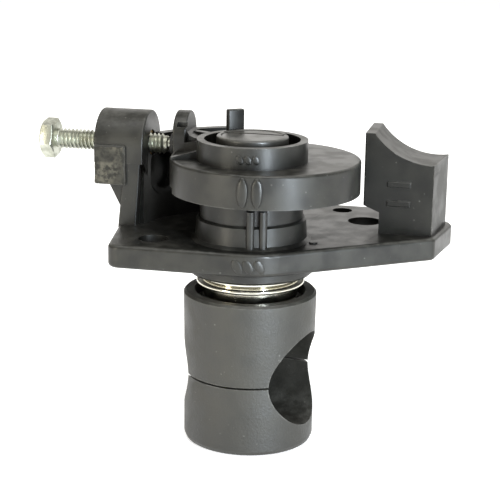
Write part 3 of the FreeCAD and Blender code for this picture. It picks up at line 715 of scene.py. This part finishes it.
def lathe(name: str, rings: list[Ring], sides: int = 96, tube: bool = False) -> bpy.types.Object:
    """Turned piece, extruded ring by ring along Z.

    Args:
        name: object name.
        rings: (radius, height) in millimetres, in order.
        sides: points round the circle.
        tube: the last ring meets the first, so the piece is open through its middle.

    Returns:
        The object, on the Z axis.
    """
    clear_selection()
    radius, height = rings[0]
    fill = "NOTHING" if tube else "NGON"
    bpy.ops.mesh.primitive_circle_add(vertices=sides, radius=radius * MM, fill_type=fill,
                                      location=(0, 0, height * MM))
    piece = bpy.context.object
    piece.name = name
    bpy.ops.object.transform_apply(location=True)
    bpy.ops.object.mode_set(mode="EDIT")
    bpy.ops.mesh.select_all(action="SELECT")
    steps = rings[1:] + (rings[:1] if tube else [])
    for next_radius, next_height in steps:
        rise = (next_height - height) * MM
        bpy.ops.mesh.extrude_region_move(TRANSFORM_OT_translate={"value": (0, 0, rise)})
        ratio = next_radius / radius
        bpy.ops.transform.resize(value=(ratio, ratio, 1.0), center_override=(0, 0, next_height * MM))
        radius, height = next_radius, next_height
    bpy.ops.object.mode_set(mode="OBJECT")
    return piece


def arc_points(cr: float, cz: float, r: float, a0: float, a1: float, steps: int) -> list[Ring]:
    """Points of an arc in a lathe profile.

    Args:
        cr: centre radius.
        cz: centre height.
        r: arc radius.
        a0: first angle, degrees.
        a1: last angle, degrees.
        steps: number of spans.

    Returns:
        (radius, height) points.
    """
    out = []
    for i in range(steps + 1):
        a = math.radians(a0 + (a1 - a0) * i / steps)
        out.append((cr + r * math.cos(a), cz + r * math.sin(a)))
    return out


def block(name: str, low: tuple, high: tuple) -> bpy.types.Object:
    """Box between two corners, in millimetres.

    Args:
        name: object name.
        low: lowest corner.
        high: highest corner.

    Returns:
        The object.
    """
    clear_selection()
    middle = [(a + b) / 2 * MM for a, b in zip(low, high)]
    bpy.ops.mesh.primitive_cube_add(size=1.0, location=middle)
    piece = bpy.context.object
    piece.name = name
    piece.scale = [(b - a) * MM for a, b in zip(low, high)]
    bpy.ops.object.transform_apply(location=True, rotation=True, scale=True)
    return piece


def soften(piece: bpy.types.Object, width: float, segments: int = 3, angle: float = 30.0) -> None:
    """Bevels the sharp edges and applies.

    Args:
        piece: the object.
        width: bevel width in millimetres.
        segments: spans of the round.
        angle: edges sharper than this are rounded, degrees.
    """
    made = piece.modifiers.new("round", "BEVEL")
    made.width = width * MM
    made.segments = segments
    made.limit_method = "ANGLE"
    made.angle_limit = math.radians(angle)
    made.use_clamp_overlap = True
    apply_all(piece)


def combine(piece: bpy.types.Object, tool: bpy.types.Object, how: str) -> None:
    """Boolean with a tool piece, which is then removed.

    Args:
        piece: the object kept.
        tool: the object used up.
        how: DIFFERENCE, UNION or INTERSECT.
    """
    made = piece.modifiers.new("cut", "BOOLEAN")
    made.operation = how
    made.object = tool
    made.solver = "EXACT"
    apply_all(piece)
    bpy.data.objects.remove(tool, do_unlink=True)


def join(parts: list[bpy.types.Object], name: str) -> bpy.types.Object:
    """Joins pieces into one object.

    Args:
        parts: the objects.
        name: name of the result.

    Returns:
        The joined object.
    """
    clear_selection()
    for part in parts:
        part.select_set(True)
    bpy.context.view_layer.objects.active = parts[0]
    bpy.ops.object.join()
    parts[0].name = name
    return parts[0]


def turn(piece: bpy.types.Object, matrix: Matrix) -> None:
    """Moves a piece by a matrix and bakes it in.

    Args:
        piece: the object.
        matrix: the move.
    """
    piece.matrix_world = matrix @ piece.matrix_world
    make_active(piece)
    bpy.ops.object.transform_apply(location=True, rotation=True, scale=True)


def thread(name: str, major: float, pitch: float, length: float, steps: int = 40) -> bpy.types.Object:
    """Core with a helical ridge along +Z from the origin, in millimetres.

    Args:
        name: object name.
        major: outside diameter.
        pitch: rise per turn.
        length: threaded length.
        steps: spans per turn.

    Returns:
        The object.
    """
    depth = 0.6 * pitch
    root = major / 2 - depth
    clear_selection()
    bpy.ops.mesh.primitive_circle_add(vertices=4, radius=pitch * 0.5 * MM, fill_type="NGON",
                                      rotation=(math.radians(90), 0, 0))
    ridge = bpy.context.object
    ridge.name = name + "_ridge"
    bpy.ops.object.transform_apply(rotation=True)
    bpy.ops.object.mode_set(mode="EDIT")
    bpy.ops.mesh.select_all(action="SELECT")
    squash = depth / (pitch * 0.5)
    bpy.ops.transform.resize(value=(squash, 1.0, 0.90), center_override=(0, 0, 0))
    bpy.ops.transform.translate(value=(root * MM, 0, pitch * 0.55 * MM))
    bpy.ops.mesh.delete(type="ONLY_FACE")
    bpy.ops.object.mode_set(mode="OBJECT")
    made = ridge.modifiers.new("helix", "SCREW")
    made.axis = "Z"
    made.angle = 2 * math.pi
    made.screw_offset = pitch * MM
    made.iterations = max(1, int((length - pitch * 1.1) / pitch))
    made.steps = steps
    made.render_steps = steps
    apply_all(ridge)
    make_active(ridge)
    bpy.ops.object.mode_set(mode="EDIT")
    bpy.ops.mesh.select_all(action="DESELECT")
    bpy.ops.mesh.select_mode(type="EDGE")
    bpy.ops.mesh.select_non_manifold()
    bpy.ops.mesh.fill()
    bpy.ops.object.mode_set(mode="OBJECT")
    taper, lead, bite = 0.25, 0.3, 0.02
    core = lathe(name + "_core", [(root - taper, 0.0), (root + bite, lead), (root + bite, length - lead),
                                  (root - taper, length)], 48)
    return join([core, ridge], name)


# ---------------------------------------------------------------- sub-assemblies


@dataclass
class Piece:
    """Base of the new pieces: keeps the finishes and declares what rides where."""

    finishes: Finishes

    def declare(self, piece: bpy.types.Object, body: Body, slot: Slot,
                material: bpy.types.Material | None = None, replaces: tuple[str, ...] = ()) -> None:
        """Gives a piece its finish, by its slot unless one is given, and its body.

        Args:
            piece: the object.
            body: the body it moves with.
            slot: record slot.
            material: finish, or None for the slot's own.
            replaces: nodes it stands for.
        """
        piece.data.materials.clear()
        piece.data.materials.append(material or self.finishes.by_slot[slot])
        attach(piece, body.value)
        if replaces:
            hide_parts(*replaces)
        log.info("%s: %d faces, rides %s", piece.name, len(piece.data.polygons), body.value)


def node_frame(name: str) -> tuple[Vector, Vector]:
    """Low and high corner of a node's box, in millimetres.

    Args:
        name: node name.

    Returns:
        Two corners.
    """
    low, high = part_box(name)
    return Vector(low) / MM, Vector(high) / MM


@dataclass
class StopScrew(Piece):
    """Zinc hex screw with a real helix, lying along the screw boss."""

    across: float = 11.1
    major: float = 6.35
    pitch: float = 1.27
    head: float = 4.4
    underside: float = 1.0
    length: float = 41.4
    pad_to_tip: float = 0.95

    def axis(self) -> tuple[Vector, Vector]:
        """Works out the screw's two ends from its node.

        Returns:
            Centre of the head's outer face and of the tip, in millimetres.
        """
        along = Vector((math.cos(REST_TURN), math.sin(REST_TURN), 0))
        pad_low, pad_high = node_frame("stop_pad")
        tip = (pad_low + pad_high) / 2 - along * self.pad_to_tip
        return tip - along * self.length, tip

    def build(self) -> None:
        """Builds the head, the thread and the dog point."""
        start, tip = self.axis()
        length = (tip - start).length
        corner = self.across / math.sqrt(3)
        head = lathe("stop_head", [(corner, 0.0), (corner, self.head)], 6)
        clear = 7.4
        crown = lathe("crown", [(4.9, -0.05), (5.35, 0.12), (clear, 1.5),
                                (clear, self.head - self.underside), (4.7, self.head + 0.15)], 96)
        combine(head, crown, "INTERSECT")
        soften(head, 0.16, 2, 18.0)
        dish = lathe("dish", [(3.6, -1.0), (3.6, 0.0), (2.4, 0.35), (0.4, 0.42)], 64)
        combine(head, dish, "DIFFERENCE")
        shank = thread("stop_thread", self.major, self.pitch, length - self.head - 0.6)
        turn(shank, Matrix.Translation((0, 0, (self.head - 0.2) * MM)))
        neck = lathe("stop_neck", [(2.9, self.head - 0.4), (3.0, self.head + 0.7),
                                   (2.5, self.head + 1.4)], 48)
        dog = lathe("stop_dog", [(2.4, length - 1.6), (1.6, length - 0.9), (1.6, length - 0.1),
                                 (1.5, length)], 48)
        screw = join([head, shank, neck, dog], "stop_screw_look")
        roll = Matrix.Rotation(math.radians(12), 4, "Z")
        lay = Matrix.Rotation(math.radians(90), 4, "Y")
        yaw = Matrix.Rotation(REST_TURN, 4, "Z")
        turn(screw, Matrix.Translation(start * MM) @ yaw @ lay @ roll)
        settle(screw, 40.0)
        self.declare(screw, Body.STOP_BOLT, Slot.ZINC, None, ("stop_screw",))


@dataclass
class FlangeRing(Piece):
    """Bright ring with a rolled lip under a plain band."""

    lip_rise: float = 4.35
    roll: float = 0.8
    wall: float = 4.35
    band_in: float = 1.3
    skirt_in: float = 2.0

    def build(self) -> None:
        """Builds the skirt, the rolled lip, the band and the bore."""
        low, high = node_frame("flange_ring")
        lip = (high.x - low.x) / 2
        bore = lip - self.wall
        band = lip - self.band_in
        skirt = lip - self.skirt_in
        lip_z = low.z + self.lip_rise
        rings = [(bore, low.z + 0.05), (skirt - 0.2, low.z + 0.05), (skirt, low.z + 0.4),
                 (skirt, lip_z - 1.2)]
        rings += arc_points(lip - self.roll, lip_z, self.roll, -100, 62, 14)
        swell = (high.z - lip_z - self.roll) / 2 - 0.15
        rings += arc_points(band - 0.75, high.z - swell - 0.05, swell, -72, 80, 14)
        rings += [(bore, high.z - 0.05)]
        ring = lathe("flange_ring_look", rings, 128, tube=True)
        settle(ring, 50.0)
        self.declare(ring, Body.PLATE, Slot.CHROME, None, ("flange_ring",))


@dataclass
class TensionCap(Piece):
    """Slotted round cap in the collar."""

    slot_width: float = 1.3
    slot_depth: float = 1.1
    slot_off: float = 3.2

    def build(self) -> None:
        """Builds the disc, its rim and the slot."""
        low, high = node_frame("tension_nut")
        r = (high.x - low.x) / 2 - 0.02
        rings = [(r - 0.6, low.z), (r, low.z + 0.5), (r, high.z - 0.8)]
        rings += arc_points(r - 0.7, high.z - 0.75, 0.7, 0, 90, 6)
        rings += [(r - 1.3, high.z - 0.05), (r - 1.6, high.z - 0.32), (2.0, high.z - 0.26)]
        cap = lathe("tension_cap_look", rings, 96)
        bore = lathe("cap_bore", [(4.05, low.z - 1), (4.05, high.z - 1.5), (3.6, high.z - 1.45)], 48)
        combine(cap, bore, "DIFFERENCE")
        half = self.slot_width / 2
        saw = block("saw", (-14, self.slot_off - half, high.z - self.slot_depth),
                    (14, self.slot_off + half, high.z + 2))
        turn(saw, Matrix.Rotation(REST_TURN, 4, "Z"))
        combine(cap, saw, "DIFFERENCE")
        soften(cap, 0.12, 2, 50.0)
        settle(cap, 40.0)
        self.declare(cap, Body.TENSION_CAP, Slot.CAP, None, ("tension_nut",))


@dataclass
class IndexKey(Piece):
    """Flat upright key in the gap of the collar."""

    angle: float = 127.4
    inner: float = 11.3
    thick: float = 2.2
    wide: float = 5.2
    shoulder: float = 6.6
    floor_up: float = 3.1

    def build(self) -> None:
        """Builds the blade with a bevelled top and its shoulders."""
        low, high = node_frame("index_key")
        blade = block("index_key_look", (self.inner, -self.wide / 2, low.z),
                      (self.inner + self.thick, self.wide / 2, high.z - 0.03))
        soften(blade, 0.32, 3)
        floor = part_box("rotor")[0][2] / MM + self.floor_up
        half = self.shoulder / 2
        shoulder = block("key_shoulder", (self.inner, -half, floor),
                         (self.inner + self.thick, half, floor + 1.4))
        soften(shoulder, 0.15, 2)
        key = join([blade, shoulder], "index_key_look")
        turn(key, Matrix.Rotation(math.radians(self.angle) + REST_TURN, 4, "Z"))
        settle(key)
        self.declare(key, Body.KEY, Slot.CAP, self.finishes.saddle, ("index_key",))


@dataclass
class ClampScrews(Piece):
    """Small socket screws with a helix, head down in the lower jaw."""

    major: float = 2.5
    pitch: float = 0.45
    head: float = 2.5
    sink: float = 0.1
    socket: float = 2.0

    def build(self) -> None:
        """Builds both screws."""
        from_head = self.head - self.sink
        corner = self.socket / math.sqrt(3)
        for node, body in (("clamp_screw_front", Body.FRONT_SCREW),
                           ("clamp_screw_rear", Body.REAR_SCREW)):
            low, high = node_frame(node)
            centre = (low + high) / 2
            r = (high.x - low.x) / 2
            rings = [(r - 0.35, 0.0), (r, 0.35), (r, from_head), (r - 0.12, self.head), (0.9, self.head)]
            head = lathe(node + "_head", rings, 48)
            socket = lathe("socket", [(corner, -1.0), (corner, 1.1), (0.3, 1.5)], 6)
            combine(head, socket, "DIFFERENCE")
            soften(head, 0.06, 2, 40.0)
            shank = thread(node + "_thread", self.major, self.pitch, high.z - low.z - from_head, 24)
            turn(shank, Matrix.Translation((0, 0, from_head * MM)))
            screw = join([head, shank], node + "_look")
            turn(screw, Matrix.Translation(Vector((centre.x, centre.y, low.z)) * MM))
            settle(screw, 40.0)
            self.declare(screw, body, Slot.ZINC, None, (node,))


@dataclass
class MouldMarks(Piece):
    """Small raised marks left on the rotor, the plate edge and the plate top."""

    disc_radius: float = 28.6
    disc_height: float = 9.9
    collar_radius: float = 16.5
    edge_radius: float = 20.8
    pin_x: float = 19.3
    pin_y: float = 2.3
    front: float = math.radians(-64.0)

    @staticmethod
    def oval(name: str, wide: float, tall: float, proud: float) -> bpy.types.Object:
        """Upright oval pad facing +X, its back in the wall.

        Args:
            name: object name.
            wide: width.
            tall: height.
            proud: how far it stands out.

        Returns:
            The object.
        """
        rings = [(0.5, -0.6), (0.5, proud * 0.3), (0.46, proud * 0.7), (0.36, proud * 0.95), (0.1, proud)]
        pad = lathe(name, rings, 40)
        turn(pad, Matrix.Rotation(math.radians(90), 4, "Y") @ Matrix.Diagonal((tall, wide, 1.0, 1.0)))
        return pad

    def on_wall(self, centre: Vector, radius: float, heading: float, size: tuple[float, float, float],
                lean: float = 0.0) -> bpy.types.Object:
        """Puts a pad on a round wall.

        Args:
            centre: centre of the wall at the pad's height.
            radius: radius of the wall.
            heading: angle round +Z.
            size: width, height and how far it stands out.
            lean: turn of the pad in its own plane.

        Returns:
            The object.
        """
        pad = self.oval("pad", *size)
        place = Matrix.Translation(centre * MM) @ Matrix.Rotation(heading, 4, "Z")
        turn(pad, place @ Matrix.Translation((radius * MM, 0, 0)) @ Matrix.Rotation(lean, 4, "X"))
        return pad

    def rim(self) -> None:
        """Two upright ovals on the rotor rim and three small pads on its collar."""
        low, high = node_frame("rotor")
        middle = low.z + self.disc_height / 2
        centre = Vector((high.x - self.disc_radius, low.y + self.disc_radius, middle))
        parts = []
        for spread in (-0.235, -0.09):
            parts.append(self.on_wall(centre, self.disc_radius, self.front + spread, (3.1, 8.6, 0.75)))
        collar = Vector((0, 0, low.z + self.disc_height + 2.9))
        for spread in (-0.22, -0.08, 0.06):
            parts.append(self.on_wall(collar, self.collar_radius, self.front + spread,
                                      (1.9, 2.8, 0.35), 0.4))
        marks = join(parts, "rim_marks")
        settle(marks)
        self.declare(marks, Body.CLAMP, Slot.NYLON)

    def edge(self) -> None:
        """Three leaning ovals on the front edge of the plate and one pin mark on its top."""
        top = node_frame("flange_ring")[1].z
        centre = Vector((0, 0, top + 6.2))
        parts = []
        for spread in (-0.19, -0.04, 0.115):
            parts.append(self.on_wall(centre, self.edge_radius, self.front + spread,
                                      (2.7, 4.8, 0.5), 0.5))
        pin_top = top + 10.35
        pin = lathe("pin", [(1.3, top + 9.4), (1.3, top + 10.2), (1.1, pin_top), (0.2, pin_top)], 32)
        turn(pin, Matrix.Translation((self.pin_x * MM, self.pin_y * MM, 0)))
        marks = join(parts + [pin], "edge_marks")
        settle(marks)
        self.declare(marks, Body.PLATE, Slot.NYLON)

    def build(self) -> None:
        """Builds all the marks."""
        self.rim()
        self.edge()


@dataclass
class BossSkin(Piece):
    """Rough skin on the block under the screw boss."""

    back: float = 22.6
    wide: float = 9.9
    tall: float = 11.9
    deep: float = 13.0
    drop: float = 11.7
    side: float = 10.9
    rough: float = 0.30

    def build(self) -> None:
        """Builds the block, divides it and roughens it."""
        low, high = node_frame("stop_pad")
        pad = Matrix.Rotation(-REST_TURN, 4, "Z") @ ((low + high) / 2)
        x0, y0, z0 = pad.x - self.back, pad.y - self.side, pad.z - self.drop
        skin = block("boss_skin", (x0, y0, z0), (x0 + self.wide, y0 + self.deep, z0 + self.tall))
        soften(skin, 0.6, 3)
        make_active(skin)
        bpy.ops.object.mode_set(mode="EDIT")
        bpy.ops.mesh.select_all(action="SELECT")
        bpy.ops.mesh.quads_convert_to_tris()
        bpy.ops.mesh.subdivide(number_cuts=24)
        bpy.ops.object.mode_set(mode="OBJECT")
        cloud = bpy.data.textures.new("boss_cloud", "CLOUDS")
        cloud.noise_scale = 0.0013
        made = skin.modifiers.new("rough", "DISPLACE")
        made.texture = cloud
        made.strength = self.rough * MM
        made.mid_level = 0.5
        made.texture_coords = "LOCAL"
        apply_all(skin)
        turn(skin, Matrix.Rotation(REST_TURN, 4, "Z"))
        settle(skin, 60.0)
        self.declare(skin, Body.PLATE, Slot.NYLON, self.finishes.skin)


@dataclass
class CadFinish:
    """Gives every carried-over node its finish."""

    finishes: Finishes
    special: dict[str, str] = field(
        default_factory=lambda: {"upper_jaw": "clamp", "lower_jaw": "clamp", "saddle": "saddle"})

    def dress(self) -> None:
        """Assigns a material to each node of the frame."""
        slots = {entry["node"]: entry["material_slot"] for entry in frame["record"]["subparts"]}
        for name, piece in frame["nodes"].items():
            slot = Slot(slots[name])
            material = self.finishes.by_slot[slot]
            if name in self.special:
                material = getattr(self.finishes, self.special[name])
            piece.data.materials.clear()
            piece.data.materials.append(material)
            log.info("%s: %s", name, material.name)


@dataclass
class Studio:
    """White floor, world, soft lights and the camera."""

    finishes: Finishes
    azimuth: float = 26.0
    elevation: float = 14.64
    distance: float = 0.421
    lens: float = 100.8
    roll: float = 0.9
    side: float = -0.00025
    height: float = 0.0373

    def floor(self) -> None:
        """Adds the floor, level with the underside of the lower jaw."""
        clear_selection()
        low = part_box("lower_jaw")[0][2]
        bpy.ops.mesh.primitive_plane_add(size=6.0, location=(0, 0, low - 0.0002))
        plane = bpy.context.object
        plane.name = "floor"
        bpy.ops.object.transform_apply(location=True)
        bpy.ops.object.mode_set(mode="EDIT")
        bpy.ops.mesh.select_all(action="SELECT")
        bpy.ops.mesh.inset(thickness=0.4, depth=0.0)
        bpy.ops.object.mode_set(mode="OBJECT")
        plane.data.materials.append(self.finishes.paper)

    def world(self) -> None:
        """Sets a near-white world."""
        world = bpy.data.worlds.new("studio")
        bpy.context.scene.world = world
        world.use_nodes = True
        background = world.node_tree.nodes["Background"]
        background.inputs["Color"].default_value = (1.0, 0.985, 0.93, 1.0)
        background.inputs["Strength"].default_value = 0.4

    @staticmethod
    def soft_light(name: str, heading: float, rise: float, away: float, size: tuple[float, float],
                   power: float, colour: Colour) -> None:
        """Adds an area light aimed at the bracket.

        Args:
            name: light name.
            heading: degrees round +Z from the camera's side, to its right.
            rise: degrees above the horizon.
            away: distance in metres.
            size: width and height in metres.
            power: watts.
            colour: light colour.
        """
        data = bpy.data.lights.new(name, "AREA")
        data.shape = "RECTANGLE"
        data.size, data.size_y = size
        data.energy = power
        data.color = colour
        lamp = bpy.data.objects.new(name, data)
        bpy.context.scene.collection.objects.link(lamp)
        turn_z = math.radians(Studio.azimuth - 90.0 + heading)
        up = math.radians(rise)
        aim = Vector((0, 0, 0.035))
        toward = Vector((math.cos(turn_z) * math.cos(up), math.sin(turn_z) * math.cos(up), math.sin(up)))
        spot = toward * away + aim
        lamp.location = spot
        lamp.rotation_euler = (aim - spot).to_track_quat("-Z", "Y").to_euler()

    def lights(self) -> None:
        """Places the soft lights."""
        self.soft_light("top_soft", 10, 70, 0.9, (0.8, 0.8), 7.5, (1.0, 0.99, 0.97))
        self.soft_light("right_strip", 30, 4, 0.75, (0.07, 0.4), 13.0, (0.82, 0.92, 1.0))
        self.soft_light("left_fill", -52, 9, 0.8, (0.14, 0.4), 2.7, (1.0, 0.93, 0.76))
        self.soft_light("back_sheet", 168, 24, 1.1, (2.0, 0.7), 5.0, (1.0, 0.98, 0.95))

    def camera(self) -> None:
        """Places the camera."""
        a, e = math.radians(self.azimuth), math.radians(self.elevation)
        forward = Vector((-math.sin(a) * math.cos(e), math.cos(a) * math.cos(e), -math.sin(e)))
        right = Vector((math.cos(a), math.sin(a), 0))
        up = right.cross(forward)
        place = Vector((0, 0, self.height)) + right * self.side - forward * self.distance
        r = math.radians(self.roll)
        across = right * math.cos(r) + up * math.sin(r)
        above = up * math.cos(r) - right * math.sin(r)
        data = bpy.data.cameras.new("camera")
        data.lens = self.lens
        data.sensor_width = 36.0
        data.clip_start = 0.01
        eye = bpy.data.objects.new("camera", data)
        bpy.context.scene.collection.objects.link(eye)
        eye.matrix_world = Matrix((
            (across.x, above.x, -forward.x, place.x),
            (across.y, above.y, -forward.y, place.y),
            (across.z, above.z, -forward.z, place.z),
            (0, 0, 0, 1),
        ))
        bpy.context.scene.camera = eye

    def build(self) -> None:
        """Builds the whole stage."""
        self.floor()
        self.world()
        self.lights()
        self.camera()
        bpy.context.scene.view_settings.view_transform = "Standard"


def main() -> None:
    """Builds every piece in order and reports it."""
    logging.basicConfig(level=logging.INFO, format="%(message)s")
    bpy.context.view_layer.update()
    finishes = Finishes()
    CadFinish(finishes).dress()
    for piece in (StopScrew(finishes), FlangeRing(finishes), TensionCap(finishes), IndexKey(finishes),
                  ClampScrews(finishes), MouldMarks(finishes), BossSkin(finishes)):
        piece.build()
        log.info("%s done", type(piece).__name__)
    Studio(finishes).build()


if __name__ == "__main__":
    main()
